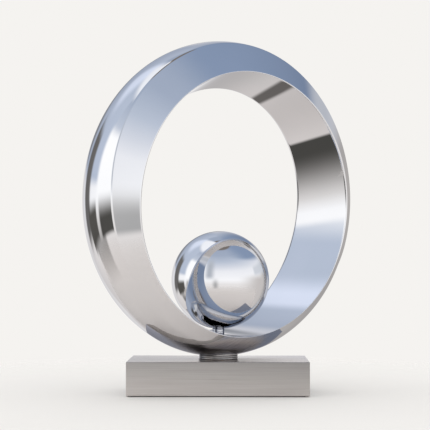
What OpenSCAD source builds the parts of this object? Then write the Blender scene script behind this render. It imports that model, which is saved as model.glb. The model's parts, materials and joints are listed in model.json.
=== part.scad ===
// Polished ring sculpture with a ball, turning on a brushed block.
// Millimetres, Z up. The origin is at the middle of the underside of the block, on the swivel axis.
// The block's long side lies along X, and its front faces -Y.
// The ring and ball are built upright in their own frame, with the hole facing -Y, then leaned and turned.

/* [Block] */
// Width of the block from side to side
block_w = 200; // [160:1:260]
// Depth of the block from front to back
block_d = 100; // [88:1:150]
// Height of the block's top above the table
block_h = 38; // [37:0.5:60]
// Thickness of the block's sheet walls and top
block_t = 3; // [2.5:0.25:4]
// Thickness of the felt sheet under the block
felt_t = 1.5; // [1:0.25:3]
// How far the block's walls end above the table
shadow_gap = 1; // [0.5:0.25:1]
// How far the felt's edge stays inside the block
felt_inset = 5; // [3:0.5:10]
// Thickness of the plate that closes the block
bottom_t = 3; // [2.5:0.25:3]
// Side of the square blocks in the corners
corner_w = 12; // [11:0.5:12]
// Height of the ballast inside the block
ballast_h = 14; // [8:0.5:16]

/* [Swivel] */
// Radius of the collar that the ring stands on
collar_r = 21.8; // [19:0.2:25]
// Radius of the spindle
spindle_r = 6; // [5:0.25:6]
// Radial clearance of the spindle in its bush
bush_clearance = 0.03; // [0.02:0.01:0.06]
// Wall of the bearing bush
bush_wall = 2; // [1.5:0.25:3]
// Radius of the bearing's body under the top of the block
bearing_r = 15; // [13:0.5:18]
// Radius of the bearing's welded flange
bearing_flange_r = 28; // [22:0.5:32]
// Length of the bearing below the top sheet
bearing_l = 13; // [12:0.5:13.5]
// Gap between the collar and the block's top
collar_gap = 0.3; // [0.2:0.05:0.5]
// Thickness of the washer that carries the ring
thrust_t = 1.3; // [1:0.1:1.8]
// Thickness of one disc spring
disc_t = 1; // [0.8:0.1:1.2]
// Free height of one disc spring
disc_h = 1.6; // [1.4:0.1:1.8]
// Height of the lock nut
nut_h = 6.5; // [5:0.25:7]
// Width of the lock nut across its flats
nut_flats = 19; // [17:0.5:22]

/* [Ring] */
// Radius of the ring's outer band at its fullest
ring_r = 176.2; // [174:0.2:179]
// Radius of the arc across the outer band
band_arc_r = 59.5; // [58.5:0.5:64]
// How far the band's fullest line lies in front of the spindle
band_forward = 0.5; // [0.5:0.25:2]
// Distance from the outer band's fullest line in to the hole's front lip
lip_inset = 31.8; // [31.6:0.2:35]
// How far the front lip lies in front of the spindle
lip_forward = 49.6; // [46:0.2:49.6]
// Angle that the hole's wall closes in towards the back
wall_taper = 8.1; // [7:0.1:8.6]
// Angle that the hole's axis drops towards the back
wall_drop = 8.5; // [7:0.1:9]
// Angle that the hole's axis swings to the right towards the back
wall_swing = 3.1; // [0:0.1:4]
// How far the middle of the hole's back edge lies behind the spindle
back_depth = 18.2; // [14:0.2:20]
// Angle that the back face tips down
back_tip = 6.9; // [4:0.1:8]
// Angle that the back face turns to the right
back_swing = 6.6; // [4:0.1:8]
// How far the hole's middle lies under the middle of the band
hole_drop = 5.2; // [3:0.2:5.4]
// How far the hole's middle lies to the left of the middle of the band
hole_shift = 1; // [0:0.25:2]
// Angle that the front bevel falls back from the plane of the ring
bevel_angle = 41.5; // [38:0.5:44]
// Angle that the back face falls back from the plane of the ring
back_angle = 40; // [34:0.5:44]
// Thickness of the ring's sheet steel
sheet_t = 1.5; // [1.2:0.1:2]
// Angle that the ring is turned on the block, seen from above
ring_turn = 38.4; // [0:0.2:90]
// Angle that the ring leans forward
ring_lean = 3.4; // [0:0.2:4]
// Height of the ring's lowest line above the table
ring_foot_h = 41.6; // [41.4:0.1:43]
// Number of stiffening frames inside the ring
rib_n = 8; // [6:2:10]
// Thickness of a stiffening frame
rib_t = 2; // [1.5:0.25:3]
// Radius of the boss inside the ring over the collar
ring_boss_r = 18; // [15:0.5:20]

/* [Ball] */
// Radius of the ball
ball_r = 55; // [48:0.5:58]
// Thickness of the ball's spun shells
ball_t = 1.5; // [1.2:0.1:2]
// Gap between the ball and the ring under it
ball_gap = 4.7; // [3.4:0.1:5.6]
// How far the ball and its stem stand behind the spindle
ball_back = 1.8; // [0:0.2:4]
// Radius of the stem between the ring and the ball
stem_r = 6.8; // [6:0.1:8]
// Depth of the groove cut round the stem
stem_groove = 0.45; // [0.3:0.05:0.6]
// Radius of the stud through the stem
stud_r = 4; // [3:0.25:4]
// Radius of the boss inside the ball
ball_boss_r = 12; // [10:0.5:15]
// Height of the boss inside the ball
ball_boss_h = 11; // [9:0.5:14]

/* [Screws] */
// Radius of a corner screw
corner_screw_r = 2; // [1.5:0.25:2]
// Length of a corner screw
corner_screw_l = 14; // [12:0.5:18]
// Radius of a ballast screw
ballast_screw_r = 3; // [2.5:0.25:3]
// Distance of a ballast screw from the middle
ballast_screw_x = 55; // [50:1:65]

/* [Hidden] */
$fn = 96;
fine_fn = 240;
turned_fn = 480;

steel = "silver";
polished = "lightsteelblue";
bronze = "darkgoldenrod";

// Small fixed sizes
housing_flange_t = 4;
plate_gap = 0.2;
washer_wall = 9;
spindle_end = 1.2;
spindle_grip = 12;
thread_gap = 3;
collar_bevel = 0.4;
collar_reach = 12;
screw_head_share = 2;
hole_room = 0.4;
vent_r = 7;
near_r = 100;
// How far outside the lip the outer band's profile starts, in front of the spindle
band_start = 10;
far_r = 220;
half_turn = 180;
band_split = -15;
ballast_hole_r = 32;
ballast_gap = 2;
rib_reach = 120;

// Levels inside the block
plate_z = felt_t;
inside_z = plate_z + bottom_t;
top_under_z = block_h - block_t;
housing_bottom_z = top_under_z - bearing_l;
housing_top_z = block_h + collar_gap - thrust_t;
collar_z = block_h + collar_gap;
lower_washer_z = housing_bottom_z - thrust_t;
disc_z = lower_washer_z - 2 * disc_h + disc_t;
nut_washer_z = disc_z - thrust_t;
nut_z = nut_washer_z - nut_h;
spindle_z = nut_z - spindle_end;
spindle_top_z = ring_foot_h + sheet_t + spindle_grip;

// Sizes across the block
inner_w = block_w - 2 * block_t;
inner_d = block_d - 2 * block_t;
corner_x = inner_w / 2 - corner_w / 2;
corner_y = inner_d / 2 - corner_w / 2;
bush_r = spindle_r + bush_clearance + bush_wall;
top_hole_r = bearing_r + 2;

// Levels in the ring's own frame, whose zero is the ring's lowest line
ring_mid_z = ring_r;
hole_mid_z = ring_mid_z - hole_drop;
lip_r = ring_r - lip_inset;
wall_r = lip_r * sqrt(cos(wall_drop));
wall_x = lip_r * sin(wall_swing) * tan(wall_taper) - hole_shift;
wall_z = hole_mid_z - lip_r * sin(wall_drop) * tan(wall_taper);
wall_r_at_spindle = wall_r - lip_forward / cos(wall_drop) * tan(wall_taper);
back_reach = lip_forward + back_depth;
back_r = wall_r - back_reach * tan(wall_taper);
hole_floor_z = wall_z - lip_forward * tan(wall_drop)
    - wall_r_at_spindle * cos(wall_taper) / cos(wall_drop - wall_taper);
ball_z = hole_floor_z + ball_gap + ball_r;
stud_bottom_z = spindle_top_z - ring_foot_h + thread_gap;
stud_top_z = ball_z - ball_r + ball_boss_h;

// Puts a child built in the ring's upright frame into its place on the block
module in_ring_frame() {
    translate([0, 0, ring_foot_h]) rotate([0, 0, ring_turn]) rotate([ring_lean, 0, 0]) children();
}

// Puts a child built on the axis of the ball's stem into its place in the ring
module in_ball_frame() {
    in_ring_frame() translate([0, ball_back, 0]) children();
}

// Turns a profile of radius and forward distance round a level axis, all the way or by another angle
// from start on
module turn_profile(start = 0, angle = 360) {
    rotate([90, 0, 0]) rotate([0, 0, start]) rotate_extrude(angle = angle, $fn = turned_fn) children();
}

// Puts a turned profile on the axis of the outer band
module on_band_axis() {
    translate([0, 0, ring_mid_z]) children();
}

// Puts a turned profile on the axis of the front bevel
module on_bevel_axis() {
    translate([-hole_shift, 0, hole_mid_z]) children();
}

// Puts a turned profile on the slanting axis of the hole's wall, with its zero at the lip
module on_wall_axis() {
    translate([wall_x, -lip_forward, wall_z]) rotate([-wall_drop, 0, -wall_swing]) children();
}

// Puts a turned profile on the axis of the back face, with its zero at the hole's back edge
module on_back_axis() {
    translate([wall_x + back_reach * tan(wall_swing), back_depth, wall_z - back_reach * tan(wall_drop)])
        rotate([back_tip, 0, back_swing]) children();
}

// Profile of the outer band, one arc from front to back, moved inwards by inset
module band_profile(inset) {
    arc_mid = ring_r - band_arc_r;
    translate([0, band_forward]) intersection() {
        translate([arc_mid, 0]) circle(band_arc_r - inset, $fn = fine_fn);
        translate([arc_mid, -band_arc_r]) square([band_arc_r, 2 * band_arc_r]);
    }
}

// Solid that fills the outer band's shape, moved inwards by inset
module band_solid(inset) {
    on_band_axis() turn_profile() band_profile(inset);
}

// Forward distance of the front bevel at radius r, moved into the metal by inset
function front_at(r, inset) = lip_forward - (r - lip_r) * tan(bevel_angle) - inset / cos(bevel_angle);
// Forward distance of the back face at radius r in its own frame, moved into the metal by inset
function back_at(r, inset) = (back_r - r) * tan(back_angle) + inset / cos(back_angle);
// Radius of the hole's wall at a forward distance from the lip, made wider by inset
function wall_at(forward, inset) = wall_r + forward * tan(wall_taper) + inset / cos(wall_taper);

// Profile behind the front bevel, from one inset into the metal to a level far behind
module bevel_profile(inset) {
    polygon([
        [near_r, front_at(near_r, inset)],
        [far_r, front_at(far_r, inset)],
        [far_r, -far_r],
        [near_r, -far_r]
    ]);
}

// Profile in front of the back face, from one inset into the metal to a level far in front
module back_profile(inset) {
    polygon([
        [near_r, back_at(near_r, inset)],
        [far_r, back_at(far_r, inset)],
        [far_r, far_r],
        [near_r, far_r]
    ]);
}

// Profile of the hole's tapering wall between two insets
module wall_profile(inner, outer) {
    polygon([
        [wall_at(-far_r, inner), -far_r],
        [wall_at(-far_r, outer), -far_r],
        [wall_at(near_r, outer), near_r],
        [wall_at(near_r, inner), near_r]
    ]);
}

// Tapering space that shapes the hole, made wider by inset
module hole_space(inset) {
    on_wall_axis() rotate([90, 0, 0]) translate([0, 0, -far_r])
        cylinder(r1 = wall_at(-far_r, inset), r2 = wall_at(near_r, inset), h = far_r + near_r, $fn = turned_fn);
}

// Solid between the front bevel and the back face, each moved into the metal by its own inset
module faces_solid(front, back) {
    intersection() {
        on_bevel_axis() turn_profile() bevel_profile(front);
        on_back_axis() turn_profile() back_profile(back);
    }
}

// Hollow space inside the ring's skins
module ring_cavity() {
    difference() {
        intersection() {
            band_solid(sheet_t);
            faces_solid(sheet_t, sheet_t);
        }
        hole_space(sheet_t);
    }
}

// Upright cylinder between two heights
module post(r, z0, z1) {
    translate([0, 0, z0]) cylinder(r = r, h = z1 - z0);
}

// Flat ring with an upright axis
module washer(outer, inner, z0, t) {
    difference() {
        post(outer, z0, z0 + t);
        post(inner, z0 - t, z0 + 2 * t);
    }
}

// Puts a child at the four corners of the block
module at_corners() {
    for (x = [-corner_x, corner_x], y = [-corner_y, corner_y]) translate([x, y, 0]) children();
}

// Puts a child at the two ballast screws
module at_ballast_screws() {
    for (x = [-ballast_screw_x, ballast_screw_x]) translate([x, 0, 0]) children();
}

// Countersunk screw that points up, with its head's face at height z
module countersunk(r, z, l) {
    post(r, z, z + l);
    translate([0, 0, z]) cylinder(r1 = screw_head_share * r, r2 = r, h = r);
}

module block_shell() {
    color(steel) difference() {
        translate([-block_w / 2, -block_d / 2, shadow_gap]) cube([block_w, block_d, block_h - shadow_gap]);
        translate([-inner_w / 2, -inner_d / 2, 0]) cube([inner_w, inner_d, top_under_z]);
        post(top_hole_r, top_under_z - block_t, block_h + block_t);
    }
}

module corner_blocks() {
    color(steel) difference() {
        at_corners() translate([-corner_w / 2, -corner_w / 2, inside_z])
            cube([corner_w, corner_w, top_under_z - inside_z]);
        at_corners() post(corner_screw_r, plate_z, plate_z + corner_screw_l);
    }
}

module ballast() {
    width = inner_w - 2 * corner_w - 2 * ballast_gap;
    depth = inner_d - 2 * ballast_gap;
    color("dimgray") difference() {
        translate([-width / 2, -depth / 2, inside_z]) cube([width, depth, ballast_h]);
        post(ballast_hole_r, 0, block_h);
        at_ballast_screws() post(ballast_screw_r, plate_z, inside_z + ballast_h / 2);
    }
}

module bottom_plate() {
    width = inner_w - 2 * plate_gap;
    depth = inner_d - 2 * plate_gap;
    color(steel) difference() {
        translate([-width / 2, -depth / 2, plate_z]) cube([width, depth, bottom_t]);
        at_corners() countersunk(corner_screw_r, plate_z, corner_screw_l);
        at_ballast_screws() countersunk(ballast_screw_r, plate_z, ballast_h);
    }
}

module corner_screws() {
    color("gray") at_corners() countersunk(corner_screw_r, plate_z, corner_screw_l);
}

module ballast_screws() {
    color("gray") at_ballast_screws() countersunk(ballast_screw_r, plate_z, bottom_t + ballast_h / 2);
}

module felt_sheet() {
    width = block_w - 2 * felt_inset;
    depth = block_d - 2 * felt_inset;
    color("black") translate([-width / 2, -depth / 2, 0]) cube([width, depth, felt_t]);
}

module bearing_housing() {
    color(steel) difference() {
        union() {
            post(bearing_r, housing_bottom_z, top_under_z);
            post(bearing_flange_r, top_under_z - housing_flange_t, top_under_z);
            post(top_hole_r, top_under_z, housing_top_z);
        }
        post(bush_r, 0, block_h);
    }
}

module spindle_bush() {
    color(bronze) washer(bush_r, spindle_r + bush_clearance, housing_bottom_z, housing_top_z - housing_bottom_z);
}

module thrust_washer() {
    color(bronze) washer(top_hole_r - hole_room, spindle_r + hole_room, housing_top_z, thrust_t);
}

module lower_washer() {
    color(bronze) washer(bearing_r, spindle_r + hole_room, lower_washer_z, thrust_t);
}

module collar() {
    color(polished) difference() {
        union() {
            post(collar_r, collar_z + collar_bevel, ring_foot_h + collar_reach);
            translate([0, 0, collar_z]) cylinder(r1 = collar_r - collar_bevel, r2 = collar_r, h = collar_bevel);
        }
        in_ring_frame() band_solid(0);
        post(spindle_r, 0, ring_r);
    }
}

module spindle() {
    color(steel) post(spindle_r, spindle_z, spindle_top_z);
}

// Pair of disc springs set edge to edge, pressing the nut away from the bearing
module disc_springs() {
    rise = disc_h - disc_t;
    inner = spindle_r + hole_room;
    outer = inner + washer_wall;
    mid_z = disc_z + disc_h - disc_t / 2;
    color("dimgray") for (side = [0, 1])
        translate([0, 0, mid_z]) mirror([0, 0, side]) rotate_extrude()
            polygon([[inner, rise / 2], [outer, 0], [outer, disc_t / 2], [inner, disc_t / 2 + rise]]);
}

module nut_washer() {
    color(steel) washer(spindle_r + washer_wall, spindle_r, nut_washer_z, thrust_t);
}

module lock_nut() {
    color(steel) difference() {
        translate([0, 0, nut_z]) cylinder(r = nut_flats / 2 / cos(30), h = nut_h, $fn = 6);
        post(spindle_r, 0, block_h);
    }
}

// Half of the outer band, from the angle start on, between the front bevel and the back face
module outer_half(start) {
    in_ring_frame() intersection() {
        on_band_axis() turn_profile(start, half_turn) difference() {
            band_profile(0);
            band_profile(sheet_t);
            square([lip_r + band_start, ring_r]);
        }
        faces_solid(sheet_t, sheet_t);
    }
}

// Half of the hole's wall, from the angle start on
module inner_half(start) {
    in_ring_frame() intersection() {
        band_solid(0);
        faces_solid(sheet_t, sheet_t);
        on_wall_axis() turn_profile(start, half_turn) wall_profile(0, sheet_t);
    }
}

// Half of the front bevel, from the angle start on
module bevel_half(start) {
    in_ring_frame() difference() {
        intersection() {
            band_solid(0);
            on_back_axis() turn_profile() back_profile(0);
            on_bevel_axis() turn_profile(start, half_turn) difference() {
                bevel_profile(0);
                bevel_profile(sheet_t);
            }
        }
        hole_space(0);
    }
}

// Half of the back face, from the angle start on
module back_half(start) {
    in_ring_frame() difference() {
        intersection() {
            band_solid(0);
            on_bevel_axis() turn_profile() bevel_profile(0);
            on_back_axis() turn_profile(start, half_turn) difference() {
                back_profile(0);
                back_profile(sheet_t);
            }
        }
        hole_space(0);
    }
}

module outer_band_upper() {
    color(polished) outer_half(band_split);
}

module outer_band_lower() {
    color(polished) difference() {
        outer_half(band_split + half_turn);
        post(spindle_r, 0, spindle_top_z);
    }
}

module inner_band_upper() {
    color(polished) inner_half(0);
}

module inner_band_lower() {
    color(polished) difference() {
        inner_half(half_turn);
        in_ball_frame() post(stud_r, stud_bottom_z, ring_mid_z);
    }
}

module front_bevel_upper() {
    color(polished) bevel_half(0);
}

module front_bevel_lower() {
    color(polished) bevel_half(half_turn);
}

module back_face_upper() {
    color(polished) back_half(0);
}

module back_face_lower() {
    color(polished) back_half(half_turn);
}

// Radial plates welded inside the ring, each with a vent hole
module ring_frames() {
    color(steel) in_ring_frame() intersection() {
        ring_cavity();
        for (i = [0 : rib_n - 1]) {
            angle = 360 / rib_n * (i + 0.5);
            translate([-hole_shift, 0, hole_mid_z]) rotate([0, angle, 0]) difference() {
                translate([-rib_t / 2, -far_r / 2, rib_reach]) cube([rib_t, far_r, far_r]);
                translate([-rib_t, 0, lip_r + 2 * vent_r]) rotate([0, 90, 0])
                    cylinder(r = vent_r, h = 2 * rib_t);
            }
        }
    }
}

module ring_boss() {
    color(steel) difference() {
        in_ring_frame() intersection() {
            ring_cavity();
            post(ring_boss_r, 0, ring_boss_r * 2);
        }
        post(spindle_r, 0, spindle_top_z);
        in_ball_frame() post(stud_r, stud_bottom_z, ring_mid_z);
    }
}

// One half of the hollow ball; side is 1 for the upper half and -1 for the lower half
module ball_half(side) {
    in_ball_frame() translate([0, 0, ball_z]) difference() {
        sphere(ball_r, $fn = fine_fn);
        sphere(ball_r - ball_t, $fn = fine_fn);
        translate([-ball_r, -ball_r, side > 0 ? -2 * ball_r : 0]) cube(2 * ball_r);
    }
}

module ball_lower_shell() {
    color(polished) difference() {
        ball_half(-1);
        in_ball_frame() post(stud_r, 0, ball_z);
    }
}

module ball_upper_shell() {
    color(polished) ball_half(1);
}

module ball_boss() {
    color(steel) in_ball_frame() difference() {
        intersection() {
            translate([0, 0, ball_z]) sphere(ball_r - ball_t, $fn = fine_fn);
            post(ball_boss_r, 0, ball_z - ball_r + ball_t + ball_boss_h);
        }
        post(stud_r, 0, stud_top_z);
    }
}

// Short turned stem whose ends follow the ring and the ball, with a groove round its middle
module ball_stem() {
    top_z = ball_z - ball_r + ball_gap;
    groove_z = hole_floor_z + ball_gap / 2;
    color(polished) in_ball_frame() difference() {
        intersection() {
            rotate_extrude() polygon([
                [stud_r, 0],
                [stem_r, 0],
                [stem_r, groove_z - stem_groove],
                [stem_r - stem_groove, groove_z],
                [stem_r, groove_z + stem_groove],
                [stem_r, top_z],
                [stud_r, top_z]
            ]);
            translate([0, -ball_back, 0]) hole_space(0);
        }
        translate([0, 0, ball_z]) sphere(ball_r, $fn = fine_fn);
    }
}

module ball_stud() {
    color(steel) in_ball_frame() post(stud_r, stud_bottom_z, stud_top_z);
}

block_shell();
corner_blocks();
ballast();
bottom_plate();
corner_screws();
ballast_screws();
felt_sheet();
bearing_housing();
spindle_bush();
thrust_washer();
lower_washer();
collar();
spindle();
disc_springs();
nut_washer();
lock_nut();
outer_band_upper();
outer_band_lower();
inner_band_upper();
inner_band_lower();
front_bevel_upper();
front_bevel_lower();
back_face_upper();
back_face_lower();
ring_frames();
ring_boss();
ball_lower_shell();
ball_upper_shell();
ball_boss();
ball_stem();
ball_stud();
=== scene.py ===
"""Looks of a mirror-polished ring sculpture that turns on a brushed block.

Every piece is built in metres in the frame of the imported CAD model, from sizes in millimetres.
"""

import json
import logging
import math
from dataclasses import dataclass, field
from enum import Enum
from typing import Any, Callable, Dict, List, Optional, Sequence, Tuple, Union

import bpy
import numpy as np
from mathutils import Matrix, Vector

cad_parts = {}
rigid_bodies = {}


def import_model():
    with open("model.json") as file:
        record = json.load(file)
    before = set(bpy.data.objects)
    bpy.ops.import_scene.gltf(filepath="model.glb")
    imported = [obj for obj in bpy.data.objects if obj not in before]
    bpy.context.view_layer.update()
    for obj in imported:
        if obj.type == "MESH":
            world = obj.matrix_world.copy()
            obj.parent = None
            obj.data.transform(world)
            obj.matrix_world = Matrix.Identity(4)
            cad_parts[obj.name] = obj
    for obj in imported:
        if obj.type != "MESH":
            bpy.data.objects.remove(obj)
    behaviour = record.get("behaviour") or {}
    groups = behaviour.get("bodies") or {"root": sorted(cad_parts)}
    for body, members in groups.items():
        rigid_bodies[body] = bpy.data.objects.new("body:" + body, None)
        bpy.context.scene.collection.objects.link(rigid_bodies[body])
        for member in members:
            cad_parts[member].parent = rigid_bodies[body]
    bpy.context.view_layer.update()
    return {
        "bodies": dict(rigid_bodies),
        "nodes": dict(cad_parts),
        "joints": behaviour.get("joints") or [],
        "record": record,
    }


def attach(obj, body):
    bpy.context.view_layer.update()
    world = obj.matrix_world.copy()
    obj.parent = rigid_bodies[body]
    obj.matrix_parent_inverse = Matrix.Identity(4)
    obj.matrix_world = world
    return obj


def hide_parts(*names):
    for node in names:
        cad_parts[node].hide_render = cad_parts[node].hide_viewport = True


LOG = logging.getLogger("ring_sculpture")
MM = 0.001

# The least length that anything is divided by, and the least square that a root is taken of
TINY = 1e-12
LEAST_SQUARE = 1e-6
# How often an interval is halved, until only rounding errors are left
HALVINGS = 48
# Keeps the arc round where a corner nearly folds back on itself
LEAST_FOLD = 0.05

Colour = Tuple[float, float, float, float]
Stops = Sequence[Tuple[float, str]]
Key = Union[str, int]
Settings = Dict[Key, Any]
Links = Dict[Key, bpy.types.NodeSocket]
ArrayMap = Callable[[np.ndarray], np.ndarray]


class Body(Enum):
    """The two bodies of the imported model."""

    BLOCK = "block"
    RING = "ring"


class Slot(Enum):
    """The record's material slots, one of which is named for each visible piece."""

    MIRROR = "mirror_steel"
    SATIN = "satin_steel"


def linear(code: str) -> Colour:
    """Turns an sRGB hex colour into linear light.

    Args:
        code: The colour as "#rrggbb".

    Returns:
        Linear red, green, blue and an alpha of one.
    """
    channels = [int(code[i : i + 2], 16) / 255 for i in (1, 3, 5)]
    return tuple(c / 12.92 if c <= 0.04045 else ((c + 0.055) / 1.055) ** 2.4 for c in channels) + (1.0,)


def set_stops(elements: bpy.types.ColorRampElements, stops: Stops) -> None:
    """Puts stops on a colour ramp.

    Args:
        elements: The ramp's own list of stops.
        stops: Positions from zero to one, each with its sRGB hex colour.
    """
    while len(elements) < len(stops):
        elements.new(1.0)
    for element, (place, code) in zip(elements, stops):
        element.position = place
        element.color = linear(code)


def wire(tree: bpy.types.NodeTree, node: bpy.types.Node, settings: Settings, links: Links) -> None:
    """Gives a node its settings and links.

    Args:
        tree: The tree that the node is in.
        node: The node.
        settings: Its properties, the values of its input sockets by name or number, or its ramp's stops.
        links: Input sockets by name or number, with the output that feeds each.
    """
    for name, value in settings.items():
        if name == "stops":
            set_stops(node.color_ramp.elements, value)
        elif isinstance(name, str) and hasattr(node, name):
            setattr(node, name, value)
        else:
            node.inputs[name].default_value = value
    for name, output in links.items():
        tree.links.new(output, node.inputs[name])


def add(tree: bpy.types.NodeTree, kind: str, settings: Optional[Settings] = None,
        links: Optional[Links] = None) -> bpy.types.Node:
    """Adds a node with its settings and links.

    Args:
        tree: The node tree that gets the node.
        kind: The node's type name.
        settings: What wire() sets on it.
        links: What wire() links to it.

    Returns:
        The new node.
    """
    node = tree.nodes.new(kind)
    wire(tree, node, settings or {}, links or {})
    return node


@dataclass(frozen=True)
class Finish:
    """A surface finish that makes its own material once.

    Attributes:
        title: The material's name.
        tint: Its lighter colour.
        dark_tint: Its darker colour.
        roughness: How rough it is on average.
        unevenness: How far the roughness strays from that, as a share of it.
        depth_mm: How deep its finest texture is.
    """

    title: str
    tint: str = "#a8a8a8"
    dark_tint: str = "#8a8a8a"
    roughness: float = 0.4
    unevenness: float = 0.2
    depth_mm: float = 0.02

    def shade(self, tree: bpy.types.NodeTree, shader: bpy.types.Node) -> None:
        """Sets up the nodes round the shader.

        Args:
            tree: The material's node tree.
            shader: Its Principled BSDF node.
        """
        raise NotImplementedError

    def rough_range(self) -> Settings:
        """Gives the least and the most roughness, as a Map Range node takes them."""
        stray = self.roughness * self.unevenness
        return {"To Min": self.roughness - stray, "To Max": self.roughness + stray}

    def material(self) -> bpy.types.Material:
        """Gives the finish's material, and makes it on first use.

        Returns:
            The material.
        """
        found = bpy.data.materials.get(self.title)
        if found is None:
            found = bpy.data.materials.new(self.title)
            found.use_nodes = True
            self.shade(found.node_tree, found.node_tree.nodes["Principled BSDF"])
        return found


@dataclass(frozen=True)
class PolishedStainless(Finish):
    """Stainless steel sheet, ground and buffed to a mirror.

    The eye sees the room in it, clear and a little darker than it is, with a faint haze where the buffing
    left the surface less even.

    Attributes:
        edge_tint: The colour of what it mirrors at a grazing angle.
        haze_mm: How broad the patches of haze are.
        buffing_mm: How wide a buffing mark is: finer in truth, and drawn as wide as it needs to show.
    """

    tint: str = "#dfdfe1"
    dark_tint: str = "#dbdcde"
    edge_tint: str = "#d2d2d5"
    roughness: float = 0.02
    unevenness: float = 0.4
    haze_mm: float = 60.0
    buffing_mm: float = 0.9

    def shade(self, tree: bpy.types.NodeTree, shader: bpy.types.Node) -> None:
        """Sets a clean mirror with a faint haze and the finest buffing marks.

        Args:
            tree: The material's node tree.
            shader: Its Principled BSDF node.
        """
        place = add(tree, "ShaderNodeTexCoord").outputs["Object"]
        haze = add(tree, "ShaderNodeTexNoise", {"Scale": 1000 / self.haze_mm, "Detail": 3.0},
                   {"Vector": place}).outputs["Fac"]
        marks = add(tree, "ShaderNodeTexNoise", {"Scale": 1000 / self.buffing_mm, "Detail": 2.0},
                    {"Vector": place}).outputs["Fac"]
        colour = add(tree, "ShaderNodeValToRGB", {"stops": [(0.3, self.tint), (0.7, self.dark_tint)]},
                     {0: haze})
        rough = add(tree, "ShaderNodeMapRange", {"From Min": 0.3, "From Max": 0.7, **self.rough_range()},
                    {"Value": haze})
        bump = add(tree, "ShaderNodeBump", {"Strength": 0.02, "Distance": self.depth_mm * MM},
                   {"Height": marks})
        wire(tree, shader, {"Metallic": 1.0, "Specular Tint": linear(self.edge_tint)},
             {"Base Color": colour.outputs[0], "Roughness": rough.outputs[0], "Normal": bump.outputs[0]})


@dataclass(frozen=True)
class BrushedStainless(Finish):
    """Stainless steel sheet, brushed along its length with a fine belt.

    The eye sees a soft grey sheen, crossed by fine level lines, and blurred shapes of what is near; where it
    is set, a painted sheen of light and shade changes evenly across it.

    Attributes:
        line_mm: How wide a brushed line is: finer in truth, and drawn as wide as it needs to show.
        line_length_mm: How long it is.
        band_width: How many times wider the faint bands are, in which the lines lie.
        band_length: How many times longer they are.
        painted_sheen: How much the colour grows for each metre along X, Y and Z, where it isn't even.
        painted_sheen_start: The share of the colour that is seen at the frame's origin, from where it grows.
    """

    tint: str = "#b4b2b0"
    dark_tint: str = "#a9a6a4"
    roughness: float = 0.33
    depth_mm: float = 0.012
    line_mm: float = 0.35
    line_length_mm: float = 45.0
    band_width: float = 3.0
    band_length: float = 2.0
    painted_sheen: Optional[Tuple[float, float, float]] = None
    painted_sheen_start: float = 1.28

    def shade(self, tree: bpy.types.NodeTree, shader: bpy.types.Node) -> None:
        """Sets long level lines in colour, roughness and height.

        Args:
            tree: The material's node tree.
            shader: Its Principled BSDF node.
        """
        place = add(tree, "ShaderNodeTexCoord").outputs["Object"]
        fine, long = 1000 / self.line_mm, 1000 / self.line_length_mm
        drawn = add(tree, "ShaderNodeMapping", {"Scale": (long, fine, fine)}, {"Vector": place})
        lines = add(tree, "ShaderNodeTexNoise", {"Scale": 1.0, "Detail": 4.0, "Roughness": 0.65},
                    {"Vector": drawn.outputs[0]}).outputs["Fac"]
        wide = (long / self.band_length, fine / self.band_width, fine / self.band_width)
        broad = add(tree, "ShaderNodeMapping", {"Scale": wide}, {"Vector": place})
        bands = add(tree, "ShaderNodeTexNoise", {"Scale": 1.0, "Detail": 2.0},
                    {"Vector": broad.outputs[0]}).outputs["Fac"]
        both = add(tree, "ShaderNodeMath", {"operation": "ADD"}, {0: lines, 1: bands})
        mean = add(tree, "ShaderNodeMath", {"operation": "MULTIPLY", 1: 0.5}, {0: both.outputs[0]}).outputs[0]
        colour = add(tree, "ShaderNodeValToRGB", {"stops": [(0.36, self.dark_tint), (0.64, self.tint)]},
                     {0: mean})
        # Painted light and shade: a sheen that changes evenly across the piece, where one is set
        if self.painted_sheen:
            colour = self.paint_sheen_across(tree, place, colour)
        rough = add(tree, "ShaderNodeMapRange", {"From Min": 0.3, "From Max": 0.7, **self.rough_range()},
                    {"Value": mean})
        bump = add(tree, "ShaderNodeBump", {"Strength": 0.3, "Distance": self.depth_mm * MM},
                   {"Height": lines})
        wire(tree, shader, {"Metallic": 1.0, "Anisotropic": 0.5},
             {"Base Color": colour.outputs[0], "Roughness": rough.outputs[0], "Normal": bump.outputs[0]})

    def paint_sheen_across(self, tree: bpy.types.NodeTree, place: bpy.types.NodeSocket,
                     colour: bpy.types.Node) -> bpy.types.Node:
        """Paints a sheen of light and shade into the colour, changing evenly across the piece.

        Args:
            tree: The material's node tree.
            place: Where the point is, in metres.
            colour: The node that gives the colour first.

        Returns:
            The node that gives the colour with the painted sheen in it.
        """
        # The painted sheen's share grows evenly along X, Y and Z
        painted_fall = add(tree, "ShaderNodeVectorMath", {"operation": "DOT_PRODUCT", 1: self.painted_sheen}, {0: place})
        share = add(tree, "ShaderNodeMath", {"operation": "ADD", 1: self.painted_sheen_start},
                    {0: painted_fall.outputs["Value"]})
        return add(tree, "ShaderNodeVectorMath", {"operation": "SCALE"},
                   {0: colour.outputs[0], "Scale": share.outputs[0]})


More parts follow.
